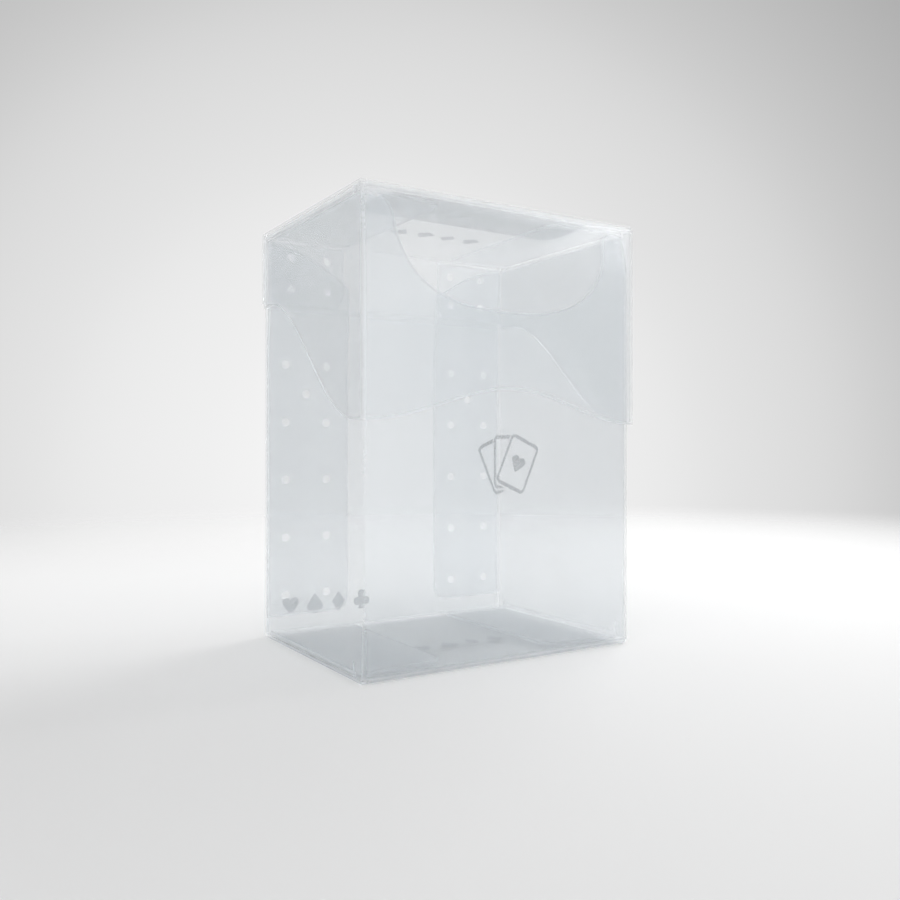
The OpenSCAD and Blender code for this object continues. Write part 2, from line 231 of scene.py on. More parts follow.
def lying_sheet(name, wrap, s, half_width, thickness, columns, drop):
    """A sheet carried across the width: a path in side view, swept from -half_width(s) to half_width(s).

    Point (s, t) is path(s) at x = half_width * t, with drop(x, y, z) taken off along the normal.
    t takes the values in columns."""
    side, normal, fold = wrap.at(s)
    x = half_width[:, None] * columns[None, :]
    y = np.broadcast_to(side[:, :1], x.shape)
    z = np.broadcast_to(side[:, 1:], x.shape)
    across = np.stack([np.zeros(len(s)), normal[:, 0], normal[:, 1]], axis=-1)[:, None, :]
    outer = np.stack([x, y, z], axis=-1) - drop(x, y, z)[..., None] * across
    return closed_sheet(name, outer, outer - thickness[:, None, None] * across, fold[:, None])


def spread(count, near_edge=0.004):
    """Shares from 0 to 1, evenly spread, with two more close to each end, where a cut edge shows."""
    return dense([0, near_edge / 3, near_edge], np.linspace(2.5 * near_edge, 1 - 2.5 * near_edge, count),
                 [1 - near_edge, 1 - near_edge / 3, 1])


# ---- Box --------------------------------------------------------------------------------------

def notch_top(x, shape):
    """Height of the front panel's top edge: the box's height, less a superellipse round the middle, with
    the corner on each side of it rounded by a quarter circle."""
    half = shape.notch_width / 2
    inside = np.clip(np.abs(x) / half, 0, 1)
    depth = shape.notch_depth * (1 - inside**shape.notch_square) ** (1 / shape.notch_square)
    lip = np.where(np.abs(x) < half, shape.notch_lip, corner_rise(np.abs(x) - half, shape.notch_lip))
    return BOX_H - np.maximum(depth, lip)


def box_shift(shape):
    """How far a point of the box wrap is moved from its upright path.

    The front leans in to keep inside the lid's swing, the back flaps lean in to let the lid's flaps by,
    both fading along the side panels, and each side panel bows in between its corners."""
    flap_lean = LAYER + shape.flap_room
    lean_foot = HINGE_HI[2] - shape.flap_lean_height

    def shift(x, y, z, normal):
        swing = BOX_D - np.sqrt(np.maximum(SWING_R**2 - np.maximum(z - HINGE_Z, 0) ** 2, 0))
        front = np.clip(1 - (y - FRONT_Y - BEND) / FRONT_FADE, 0, 1)
        back = np.clip(1 - (FLAP_Y - BEND - y) / BACK_FADE, 0, 1)
        lean_y = np.maximum(swing, 0) * ease(front)
        lean_y = lean_y - flap_lean * ease((z - lean_foot) / (HINGE_HI[2] - lean_foot)) * ease(back)
        along = np.clip((y - FRONT_Y - BEND) / (FLAP_Y - FRONT_Y - 2 * BEND), 0, 1)
        bow = shape.bow * (np.sin(np.pi * along) * np.sin(np.pi * z / BOX_H)) ** 2 * np.abs(normal[..., 0])
        moved = -bow[..., None] * normal
        moved[..., 1] += lean_y
        return moved

    return shift


def make_box_wrap(shape):
    """The standing wall of the box in one piece: back flap, side, front, side and back flap."""
    right = [(HALF_W, FRONT_Y), (HALF_W, FLAP_Y), (FLAP_LO[0], FLAP_Y)]
    wrap = Wrap([(-x, y) for x, y in reversed(right)] + right, BEND)
    # Distances from the middle of the front panel, for one half
    half = wrap.length / 2
    rim = shape.notch_width / 2
    corner = HALF_W - BEND
    side_start = corner + BEND * np.pi / 2
    side_end = side_start + (FLAP_Y - FRONT_Y) - 2 * BEND
    flap_start = side_end + BEND * np.pi / 2
    floor_flap = [side_start + FLOOR_FLAP_LO[1] - FRONT_Y - BEND,
                  side_end - (FLAP_Y - BEND - FLOOR_FLAP_HI[1])]
    places = dense(
        np.linspace(0, rim / 2, 8), toward(rim, -rim / 2, 26), toward(rim, shape.notch_lip),
        np.linspace(rim + shape.notch_lip, corner, 4), np.linspace(corner, side_start, 9),
        np.linspace(side_start, side_end, 24), floor_flap, np.array(floor_flap) + [-STEP, STEP],
        np.linspace(side_end, flap_start, 9), np.linspace(flap_start, half, 12),
        toward(half, -shape.flap_corner),
    )
    s = dense(half - places, half + places)
    plan = wrap.at(s)[0]
    across, y = np.abs(plan[:, 0]), plan[:, 1]
    on_front = y < FRONT_Y + BEND - STEP
    on_back = y > FLAP_Y - BEND + STEP
    share = np.clip((HALF_W - across) / (HALF_W - FLAP_LO[0]), 0, 1)
    high = np.where(y < FRONT_Y + STEP / 2, notch_top(across, shape), BOX_H)
    high = np.where(on_back, BOX_H - shape.flap_fall * (1 - np.cos(np.pi / 2 * share)), high)
    low = np.full(len(s), LAYER + BEND)
    low[(y < FLOOR_FLAP_LO[1] - STEP / 2) | (y > FLOOR_FLAP_HI[1] + STEP / 2)] = LAYER + STEP
    low = np.where(on_front, BEND, low)
    low = np.where(on_back, FLAP_LO[2] + corner_rise(across - FLAP_LO[0], shape.flap_corner), low)
    rows = dense(spread(24), np.linspace(0.86, 1, 12))
    piece = standing_sheet("box_wrap", wrap, s, low, high, rows, box_shift(shape))
    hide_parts("box_front_panel", "box_left_side_panel", "box_right_side_panel",
                "box_left_back_flap", "box_right_back_flap")
    return finished(piece, "box_pp", "box")


def hinge_taper(distance, shape):
    """Thickness of a sheet at a distance from the hinge: the web's there, and sloping up to the full one."""
    return WEB + (SHEET - WEB) * np.clip(distance / shape.groove_slope, 0, 1)


def make_box_spine(shape):
    """The floor and the back in one piece: front crease, base, back crease and back panel up to the hinge."""
    wrap = Wrap([(FRONT_Y, BEND), (FRONT_Y, 0), (BACK_Y, 0), (BACK_Y, HINGE_LO[2])], BEND)
    turn = BEND * np.pi / 2
    base = BOX_D - 2 * BEND
    s = dense(np.linspace(0, turn, 9), np.linspace(turn, turn + base, 26),
              np.linspace(turn + base, 2 * turn + base, 9), np.linspace(2 * turn + base, wrap.length, 40),
              toward(wrap.length, -shape.groove_slope, 5), toward(wrap.length, -6 * RIM, 5))
    half = np.where(s < turn - STEP / 2, BASE_HI[0] - BEND, BASE_HI[0])

    def drop(x, y, z):
        between = ease(1.6 * np.clip(1 - np.abs(x) / FLAP_LO[0], 0, 1))
        upright = np.where(y > BACK_Y - STEP, np.sin(np.pi * np.clip(z / HINGE_Z, 0, 1)) ** 2, 0)
        return shape.bow * between * upright

    piece = lying_sheet("box_base_and_back", wrap, s, half, hinge_taper(wrap.length - s, shape),
                        2 * spread(36) - 1, drop)
    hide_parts("box_base_panel", "box_back_panel")
    return finished(piece, "box_pp", "box")


def make_dust_flap(node, slot, body, corner, spring):
    """A flap folded in from a side panel: a path round the crease and in to the free side, carried from
    front to back between rounded corners. Its free side stands spring above its root, as an ease curve."""
    lo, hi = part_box(node)
    side = 1 if lo[0] > 0 else -1
    near, root = sorted((abs(lo[0]), abs(hi[0])))
    floor = slot == "box_pp"
    face, crease_end = (lo[2], hi[2]) if floor else (hi[2], lo[2])
    corners = [(near, face), (root, face), (root, crease_end)]
    wrap = Wrap(corners if floor else corners[::-1], BEND)
    flat = root - near - BEND
    from_free = dense(toward(0, corner), np.linspace(0, flat, 16), np.linspace(flat, wrap.length, 9))
    s = from_free if floor else np.sort(wrap.length - from_free)
    section, normal, fold = wrap.at(s)
    x, z = section[:, 0], section[:, 1]
    cut = corner_rise(x - near, corner)
    t = spread(24)[:, None]
    y = (lo[1] + cut) + (hi[1] - lo[1] - 2 * cut) * t
    z = z + spring * ease(1 - (x - near) / (root - near))
    outer = np.stack(np.broadcast_arrays(side * x, y, z), axis=-1)
    back = np.stack([side * normal[:, 0], np.zeros(len(s)), normal[:, 1]], axis=-1)
    piece = closed_sheet(node.replace("_flap", "_fold"), outer, outer - SHEET * back, fold)
    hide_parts(node)
    return finished(piece, slot, body)


# ---- Lid --------------------------------------------------------------------------------------

def make_lid_wrap(shape):
    """The lid's standing walls in one piece: back flap, side, front, side and back flap."""
    right = [(LID_HALF_W, LID_FRONT_Y), (LID_HALF_W, FLAP_Y), (LID_FLAP_LO[0], FLAP_Y)]
    wrap = Wrap([(-x, y) for x, y in reversed(right)] + right, BEND)
    half = wrap.length / 2
    corner = LID_HALF_W - BEND
    side_start = corner + BEND * np.pi / 2
    side_end = side_start + (FLAP_Y - LID_FRONT_Y) - 2 * BEND
    flap_start = side_end + BEND * np.pi / 2
    dust_flap = [side_start + LID_DUST_LO[1] - LID_FRONT_Y - BEND,
                 side_end - (FLAP_Y - BEND - LID_DUST_HI[1])]
    places = dense(
        np.linspace(0, corner, 26), np.linspace(corner, side_start, 9), np.linspace(side_start, side_end, 44),
        dust_flap, np.array(dust_flap) + [-STEP, STEP], np.linspace(side_end, flap_start, 9),
        np.linspace(flap_start, half, 9), toward(half, -shape.flap_bevel, 5),
    )
    s = dense(half - places, half + places)
    plan = wrap.at(s)[0]
    across, y = np.abs(plan[:, 0]), plan[:, 1]
    on_front = y < LID_FRONT_Y + BEND - STEP
    on_back = y > FLAP_Y - BEND + STEP
    rise = (y - LID_FRONT_Y - shape.edge_front) / (BACK_Y - LID_FRONT_Y - shape.edge_front - shape.edge_back)
    corner_z = LID_FRONT_LO[2]
    low = corner_z + (LID_SIDE_HI[2] - LID_SIDE_LO[2] - shape.side_back) * ease(rise)
    arch = shape.arch * (1 + np.cos(np.pi * np.clip(across / corner, 0, 1))) / 2
    low = np.where(on_front, corner_z + arch, low)
    bevel = np.clip(shape.flap_bevel - (across - LID_FLAP_LO[0]), 0, shape.flap_bevel)
    low = np.where(on_back, LID_FLAP_LO[2] + 2 * bevel, low)
    high = np.full(len(s), TOP_Z - LAYER - BEND)
    high[(y < LID_DUST_LO[1] - STEP / 2) | (y > LID_DUST_HI[1] + STEP / 2)] = TOP_Z - LAYER - STEP
    high = np.where(on_front, TOP_Z - BEND, high)
    high = np.where(on_back, LID_FLAP_HI[2], high)

    def shift(x, y, z, normal):
        share = (z - corner_z) / (TOP_Z - corner_z)
        middle = np.cos(np.pi / 2 * np.clip(x / corner, -1, 1)) * np.sin(np.pi * np.clip(share, 0, 1))
        return -(shape.bow * middle**2 * np.clip(-normal[..., 1], 0, 1))[..., None] * normal

    piece = standing_sheet("lid_wrap", wrap, s, low, high, spread(30, 0.008), shift)
    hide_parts("lid_front_panel", "lid_left_side_panel", "lid_right_side_panel",
                "lid_left_back_flap", "lid_right_back_flap")
    return finished(piece, "lid_pp", "lid")


def rounded_field(x, y, lo, hi, radius, soft):
    """1 inside a rectangle with rounded corners and 0 outside, by the distance to its outline."""
    from_x = np.abs(x - (lo[0] + hi[0]) / 2) - (hi[0] - lo[0]) / 2 + radius
    from_y = np.abs(y - (lo[1] + hi[1]) / 2) - (hi[1] - lo[1]) / 2 + radius
    outside = np.hypot(np.maximum(from_x, 0), np.maximum(from_y, 0))
    outside = outside + np.minimum(np.maximum(from_x, from_y), 0)
    return ease(0.5 - (outside - radius) / soft)


def make_lid_spine(shape):
    """The lid's back strip, top and front crease in one piece, with a shallow field for the label strip."""
    corners = [(BACK_Y, HINGE_HI[2]), (BACK_Y, TOP_Z), (LID_FRONT_Y, TOP_Z), (LID_FRONT_Y, TOP_Z - BEND)]
    wrap = Wrap(corners, BEND)
    turn = BEND * np.pi / 2
    strip = TOP_Z - BEND - HINGE_HI[2]
    top = BACK_Y - LID_FRONT_Y - 2 * BEND
    field = [strip + turn + BACK_Y - BEND - edge for edge in (LABEL_HI[1], LABEL_LO[1])]
    soft = shape.label_soft
    s = dense(toward(0, shape.groove_slope, 5), toward(0, 6 * RIM, 5), np.linspace(0, strip, 14),
              np.linspace(strip, strip + turn, 9), np.linspace(strip + turn, strip + turn + top, 50),
              *[edge + soft * np.linspace(-0.5, 0.5, 7) for edge in field],
              np.linspace(wrap.length - turn, wrap.length, 9))
    half = np.where(s > wrap.length - turn + STEP / 2, LID_TOP_HI[0] - BEND, LID_TOP_HI[0])
    field_side = (LABEL_HI[0] + soft * np.linspace(-0.5, 0.5, 7)) / LID_TOP_HI[0]
    columns = dense(2 * spread(60) - 1, field_side, -field_side,
                    (LABEL_HI[0] - toward(0, shape.label_corner, 8)) / LID_TOP_HI[0],
                    -(LABEL_HI[0] - toward(0, shape.label_corner, 8)) / LID_TOP_HI[0])
    deep = LABEL_HI[2] - LABEL_LO[2] + FIELD_ROOM

    def drop(x, y, z):
        field = rounded_field(x, y, LABEL_LO, LABEL_HI, shape.label_corner, soft)
        return np.where(z > TOP_Z - STEP, deep * field, 0)

    piece = lying_sheet("lid_top_and_back", wrap, s, half, hinge_taper(s, shape), columns, drop)
    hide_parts("lid_top_panel", "lid_back_panel")
    return finished(piece, "lid_pp", "lid")


def make_hinge():
    """The thinned crease: a web from groove to groove, a little thinner still along its middle, as a sine."""
    x = HINGE_HI[0] * (2 * spread(50) - 1)
    t = np.linspace(0, 1, 13)
    across, share = np.meshgrid(x, t)
    height = HINGE_LO[2] + (HINGE_HI[2] - HINGE_LO[2]) * share
    waist = 0.25 * WEB * np.sin(np.pi * share) ** 2
    outer = np.stack([across, np.full_like(across, BACK_Y), height], axis=-1)
    inner = np.stack([across, BACK_Y - WEB + waist, height], axis=-1)
    piece = closed_sheet("hinge_web", outer, inner, np.ones(across.shape))
    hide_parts("living_hinge")
    piece.data.materials.append(sheet_finish("hinge_pp"))
    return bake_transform(piece)


# ---- Finishes ---------------------------------------------------------------------------------

class Nodes:
    """A node tree that is built from the values it needs: every method takes numbers or sockets."""

    def __init__(self, tree):
        self.tree = tree

    def add(self, kind, inputs=(), **settings):
        node = self.tree.nodes.new(kind)
        for key, value in settings.items():
            setattr(node, key, value)
        for socket, value in dict(inputs).items():
            self.join(value, node.inputs[socket])
        return node

    def join(self, value, socket):
        if isinstance(value, bpy.types.NodeSocket):
            self.tree.links.new(value, socket)
        else:
            socket.default_value = value

    def math(self, operation, *values):
        return self.add("ShaderNodeMath", enumerate(values), operation=operation).outputs[0]

    def hypotenuse(self, a, b):
        return self.math("SQRT", self.math("ADD", self.math("MULTIPLY", a, a), self.math("MULTIPLY", b, b)))

    def dot(self, a, b):
        return self.add("ShaderNodeVectorMath", [(0, a), (1, b)], operation="DOT_PRODUCT").outputs["Value"]

    def sum_of(self, base, *parts):
        """base plus each (value, weight) of parts, kept from 0 to 1."""
        for value, weight in parts:
            base = self.math("MULTIPLY_ADD", value, weight, base)
        return self.math("MINIMUM", self.math("MAXIMUM", base, 0.0), 1.0)

    def between(self, value, low, high):
        """0 below low, 1 above high, and a smooth step between them."""
        inputs = {"Value": value, "From Min": low, "From Max": high}
        return self.add("ShaderNodeMapRange", inputs, interpolation_type="SMOOTHSTEP").outputs["Result"]

    def noise(self, place, scale, detail=2.0, distortion=0.0):
        inputs = {"Vector": place, "Scale": scale, "Detail": detail, "Distortion": distortion}
        return self.add("ShaderNodeTexNoise", inputs).outputs["Fac"]

    def stretched(self, place, scale, turn=(0, 0, 0)):
        inputs = {"Vector": place, "Scale": scale, "Rotation": turn}
        return self.add("ShaderNodeMapping", inputs).outputs["Vector"]

    def mix(self, share, a, b):
        node = self.add("ShaderNodeMix", data_type="RGBA")
        for value, socket in ((share, node.inputs[0]), (a, node.inputs[6]), (b, node.inputs[7])):
            self.join(value, socket)
        return node.outputs[2]

    def object_place(self):
        return self.add("ShaderNodeTexCoord").outputs["Object"]

    def attribute(self, name):
        return self.add("ShaderNodeAttribute", attribute_name=name).outputs["Fac"]


def node_group(name, inputs, outputs, build):
    """The group of that name, built once: build(nodes, input sockets by name) gives a value per output."""
    group = bpy.data.node_groups.get(name)
    if group:
        return group
    group = bpy.data.node_groups.new(name, "ShaderNodeTree")
    for label, default in inputs.items():
        socket = group.interface.new_socket(label, in_out="INPUT", socket_type="NodeSocketFloat")
        socket.default_value = default
    for label in outputs:
        group.interface.new_socket(label, in_out="OUTPUT", socket_type="NodeSocketFloat")
    nodes = Nodes(group)
    given = nodes.add("NodeGroupInput").outputs
    made = build(nodes, given)
    out = nodes.add("NodeGroupOutput")
    for label, value in zip(outputs, made):
        nodes.join(value, out.inputs[label])
    return group


def build_frosting(nodes, given):
    """Fine etched grain, and the cloudiness of the extruded sheet, which runs in upright drifts."""
    place = nodes.object_place()
    grain = nodes.noise(place, nodes.math("DIVIDE", 1.0, given["Grain Size"]), 0.0)
    upright = nodes.stretched(place, (1, 1, 0.35))
    cloud = nodes.noise(upright, nodes.math("DIVIDE", 1.0, given["Cloud Size"]), 1.0)
    return nodes.between(grain, 0.3, 0.7), nodes.between(cloud, 0.3, 0.7)


def frosting():
    sizes = {"Grain Size": 0.0004, "Cloud Size": 0.03}
    return node_group("Frosting", sizes, ("Grain", "Cloud"), build_frosting)


def build_edges(nodes, given):
    """Whitening along creases, patchy where the sheet is, and the brightness of a cut edge."""
    patchy = nodes.math("MULTIPLY_ADD", given["Patchiness"], 0.5, 0.5)
    return nodes.math("MULTIPLY", nodes.attribute("fold"), patchy), nodes.attribute("rim")


def edges():
    return node_group("Creases and Cut Edges", {"Patchiness": 1.0}, ("Crease", "Cut Edge"), build_edges)


def build_melt(nodes, given):
    """Where two sheets are fused they have melted clear: 1 inside each round spot, and 0 outside.

    The spots stand in two columns at even heights, so that the distance to the nearest one is the length
    of (distance to the nearer column, distance to the nearest height)."""
    place = nodes.object_place()
    x, y, z = nodes.add("ShaderNodeSeparateXYZ", {"Vector": place}).outputs
    spots = []
    for node, extra in (("box_right_fused_spots", True), ("lid_right_fused_spots", False)):
        lo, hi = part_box(node)
        radius = bpy.context.scene.deck_box_finish.spot_radius
        rows = 5 if extra else 2
        low, high = lo[2] + radius, hi[2] - radius
        pitch = (high - low) / (rows - 1)
        from_middle = nodes.math("SUBTRACT", nodes.math("ABSOLUTE", x), (lo[0] + hi[0]) / 2)
        from_middle = nodes.math("ABSOLUTE", from_middle)
        across = nodes.math("SUBTRACT", from_middle, (hi[0] - lo[0]) / 2 - radius)
        # Height to the nearest row, and past the last rows to the last one
        inside = nodes.math("MINIMUM", nodes.math("MAXIMUM", z, low), high)
        nearest = nodes.math("PINGPONG", nodes.math("SUBTRACT", inside, low), pitch / 2)
        beyond = nodes.math("ABSOLUTE", nodes.math("SUBTRACT", z, inside))
        up = nodes.math("MAXIMUM", nearest, beyond)
        reach = [nodes.hypotenuse(across, up)]
        if extra:
            rise = nodes.math("SUBTRACT", z, high - pitch / 2)
            reach.append(nodes.hypotenuse(from_middle, rise))
        spots += [nodes.between(r, radius * 1.15, radius * 0.8) for r in reach]
    either = nodes.math("MAXIMUM", nodes.math("MAXIMUM", spots[0], spots[1]), spots[2])
    at_back = nodes.between(y, FLAP_Y - 2 * SHEET, FLAP_Y - 1.5 * SHEET)
    return (nodes.math("MULTIPLY", either, at_back),)


def melt():
    return node_group("Fused Spots", {}, ("Clear",), build_melt)


def build_scuffs(nodes, given):
    """Hairline rubs from sliding in and out of a bag: noise drawn out upwards, thinned to lines."""
    place = nodes.stretched(nodes.object_place(), (9, 9, 0.6), (0.2, 0.15, 0.3))
    line = nodes.between(nodes.noise(place, nodes.math("DIVIDE", 1.0, given["Size"]), 0.0), 0.68, 0.72)
    return (nodes.math("MULTIPLY", line, given["Amount"]),)


def scuffs():
    return node_group("Handling Scuffs", {"Size": 0.012, "Amount": 1.0}, ("Scuff",), build_scuffs)


def grouped(nodes, group, **values):
    """The outputs of a node group, placed in a material with its own values: grain_size is Grain Size."""
    node = nodes.add("ShaderNodeGroup", node_tree=group)
    for label, value in values.items():
        nodes.join(value, node.inputs[label.replace("_", " ").title()])
    return node.outputs


def new_finish(name):
    """A material with a Principled BSDF on its output, and a bump ahead of the BSDF's normal."""
    material = bpy.data.materials.new(name)
    material.use_nodes = True
    material.node_tree.nodes.clear()
    nodes = Nodes(material.node_tree)
    shader = nodes.add("ShaderNodeBsdfPrincipled")
    out = nodes.add("ShaderNodeOutputMaterial")
    nodes.join(shader.outputs["BSDF"], out.inputs["Surface"])
    bump = nodes.add("ShaderNodeBump", {"Distance": 0.00003})
    nodes.join(bump.outputs["Normal"], shader.inputs["Normal"])
    return material, nodes, shader, bump


def lighter(colour, share):
    """The colour, moved that share of the way to white."""
    return tuple(c + (1 - c) * share for c in colour) + (1.0,)


def sheet_finish(slot):
    """Frosted polypropylene: a see-through sheet with a pale veil. The veil is denser on the etched grain,
    whitened creases, cut edges and scuffs. The lid, the box and the hinge differ in veil and tint."""
    name = "Frosted " + slot
    if name in bpy.data.materials:
        return bpy.data.materials[name]
    look = bpy.context.scene.deck_box_finish
    veil = {"box_pp": look.box_veil, "lid_pp": look.lid_veil, "hinge_pp": look.hinge_veil}[slot]
    # The lid's tint is paler than the box's though both are one sheet: painted light that lifts the lid's tone
    colour = {"box_pp": look.box_colour, "lid_pp": look.lid_colour_painted_lighter, "hinge_pp": look.box_colour}[slot]
    material, nodes, shader, bump = new_finish(name)
    frost = grouped(nodes, frosting(), grain_size=look.grain_size)
    line = grouped(nodes, edges(), patchiness=frost["Cloud"])
    rub = grouped(nodes, scuffs(), amount=frost["Cloud"])["Scuff"]
    clear = grouped(nodes, melt())["Clear"]
    white = nodes.sum_of(0.0, (line["Crease"], 0.25), (line["Cut Edge"], look.edge_whiteness), (rub, 0.08))
    body = nodes.mix(frost["Cloud"], tuple(colour) + (1.0,), lighter(colour, 0.06))
    nodes.join(nodes.mix(white, body, lighter(colour, 0.9)), shader.inputs["Base Color"])
    grainy = nodes.math("SUBTRACT", frost["Grain"], 0.5)
    alpha = nodes.sum_of(veil - 0.005, (grainy, look.grain_strength), (frost["Cloud"], 0.01),
                         (line["Crease"], look.crease_veil), (line["Cut Edge"], look.edge_veil), (rub, 0.006),
                         (clear, -look.spot_clearing))
    nodes.join(alpha, shader.inputs["Alpha"])
    nodes.join(nodes.sum_of(look.roughness, (grainy, 0.05), (rub, 0.03)), shader.inputs["Roughness"])
    nodes.join(frost["Grain"], bump.inputs["Height"])
    bump.inputs["Strength"].default_value = 0.015
    shader.inputs["IOR"].default_value = look.refraction
    shader.inputs["Transmission Weight"].default_value = look.milkiness
    return material


def ink_finish():
    """Screen-printed grey ink: a thin coat, a little open where the frosting's grain shows through."""
    look = bpy.context.scene.deck_box_finish
    material, nodes, shader, bump = new_finish("Print ink")
    frost = grouped(nodes, frosting(), grain_size=0.0003, cloud_size=0.004)
    colour = nodes.mix(frost["Cloud"], tuple(look.ink_colour) + (1.0,), lighter(look.ink_colour, 0.08))
    nodes.join(colour, shader.inputs["Base Color"])
    nodes.join(nodes.sum_of(look.ink_cover, (frost["Grain"], -0.15)), shader.inputs["Alpha"])
    nodes.join(nodes.sum_of(0.45, (frost["Grain"], 0.2)), shader.inputs["Roughness"])
    nodes.join(frost["Grain"], bump.inputs["Height"])
    bump.inputs["Strength"].default_value = 0.3
    return material


def spot_finish():
    """Where two sheets are fused: almost clear, with a pale cloud that varies over each spot."""
    look = bpy.context.scene.deck_box_finish
    material, nodes, shader, bump = new_finish("Fused spots")
    frost = grouped(nodes, frosting(), grain_size=0.0004, cloud_size=0.0015)
    nodes.join(nodes.mix(frost["Cloud"], lighter(look.box_colour, 0.5), lighter(look.box_colour, 0.95)),
               shader.inputs["Base Color"])
    alpha = nodes.sum_of(look.spot_veil, (frost["Cloud"], 0.04), (frost["Grain"], -0.02))
    nodes.join(alpha, shader.inputs["Alpha"])
    shader.inputs["Transmission Weight"].default_value = look.milkiness
    shader.inputs["IOR"].default_value = look.refraction
    nodes.join(nodes.sum_of(0.3, (frost["Grain"], 0.25)), shader.inputs["Roughness"])
    nodes.join(frost["Cloud"], bump.inputs["Height"])
    bump.inputs["Strength"].default_value = 0.4
    return material


def label_finish():
    """A grey matte film: fine lines drawn along its length, and the mottling of the glue under it."""
    look = bpy.context.scene.deck_box_finish
    material, nodes, shader, bump = new_finish("Label film")
    frost = grouped(nodes, frosting(), grain_size=0.0004, cloud_size=0.006)
    rub = grouped(nodes, scuffs(), size=0.008)["Scuff"]
    drawn = nodes.noise(nodes.stretched(nodes.object_place(), (60, 4000, 1)), 1.0, 2.0)
    colour = nodes.mix(nodes.sum_of(0.0, (frost["Cloud"], 0.6), (rub, 0.3)),
                       tuple(look.label_colour) + (1.0,), lighter(look.label_colour, 0.12))
    nodes.join(colour, shader.inputs["Base Color"])
    alpha = nodes.sum_of(look.label_veil, (frost["Grain"], 0.1), (frost["Cloud"], 0.06))
    nodes.join(alpha, shader.inputs["Alpha"])
    nodes.join(nodes.sum_of(0.35, (drawn, 0.2), (rub, 0.1)), shader.inputs["Roughness"])
    nodes.join(nodes.sum_of(0.0, (drawn, 0.5), (frost["Grain"], 0.4)), bump.inputs["Height"])
    bump.inputs["Strength"].default_value = 0.3
    return material


def finished(piece, slot, body):
    """Gives a new piece its frosted finish and its body."""
    piece.data.materials.append(sheet_finish(slot))
    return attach(piece, body)


def repaint(names, material):
    """Puts a finish on pieces of the frame that stay as they are."""
    for name in names:
        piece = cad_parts[name]
        piece.data.materials.clear()
        piece.data.materials.append(material)


# ---- Studio -----------------------------------------------------------------------------------

def make_floor(studio):
    """A flat disc under the box: radius R * share**1.5 at even angles, fading out towards its rim."""
    ring = studio.floor_radius * np.linspace(0, 1, 40)[:, None] ** 1.5
    angle = np.linspace(0, 2 * np.pi, 97)[None, :-1]
    x, y = ring * np.cos(angle), ring * np.sin(angle)
    points = np.stack([x, y, np.full_like(x, -FLOOR_DROP)], axis=-1)[1:].reshape(-1, 3)
    points = np.concatenate([points, [[0, 0, -FLOOR_DROP]]])
    rows, columns = 39, 96
    index = np.arange(rows * columns).reshape(rows, columns)
    turned = np.roll(index, -1, axis=1)
    quads = np.stack([index[:-1], index[1:], turned[1:], turned[:-1]], axis=-1).reshape(-1, 4)
    fan = np.stack([index[0], turned[0], np.full(columns, rows * columns)], axis=-1)
    mesh = bpy.data.meshes.new("floor")
    mesh.from_pydata(points, [], quads.tolist() + fan.tolist())
    mesh.update()
    floor = bpy.data.objects.new("floor", mesh)
    bpy.context.scene.collection.objects.link(floor)
    material, nodes, shader, bump = new_finish("Studio floor")
    place = nodes.object_place()
    mottle = nodes.noise(place, 9.0, 2.0)
    grey = lambda tone: (tone, tone, tone, 1)
    # Painted light: the floor is painted paler on the wall's side of the box, standing for the light that
    # falls there
    to_wall = (-math.sin(studio.glow_turn), math.cos(studio.glow_turn), 0)
    wall_light_share = nodes.between(nodes.dot(place, to_wall), -0.14, 0.12)
    pale = nodes.mix(wall_light_share, grey(studio.floor_near), grey(studio.floor_far_painted_light))
    dim = grey(studio.floor_near * studio.contact_shade)
    # Dimmer inside the box's own outline, which stands for the light that the box keeps off the floor
    x, y = nodes.add("ShaderNodeSeparateXYZ", {"Vector": place}).outputs[:2]
    off_x = nodes.math("SUBTRACT", nodes.math("ABSOLUTE", x), HALF_W)
    off_y = nodes.math("ABSOLUTE", nodes.math("SUBTRACT", y, (FRONT_Y + BACK_Y) / 2))
    off_y = nodes.math("SUBTRACT", off_y, BOX_D / 2)
    outside = nodes.between(nodes.math("MAXIMUM", off_x, off_y), -3 * MM, 0.0)
    clear = nodes.mix(nodes.math("MULTIPLY", mottle, 0.02), pale, grey(0.5))
    nodes.join(nodes.mix(outside, dim, clear), shader.inputs["Base Color"])
    far = nodes.add("ShaderNodeVectorMath", [(0, place)], operation="LENGTH").outputs["Value"]
    fade = nodes.between(far, studio.fade_start, studio.floor_radius)
    nodes.join(nodes.math("SUBTRACT", 1.0, fade), shader.inputs["Alpha"])
    shader.inputs["Roughness"].default_value = 0.6
    shader.inputs["Specular IOR Level"].default_value = 0.2
    nodes.join(mottle, bump.inputs["Height"])
    bump.inputs["Strength"].default_value = 0.02
    floor.data.materials.append(material)
    return floor


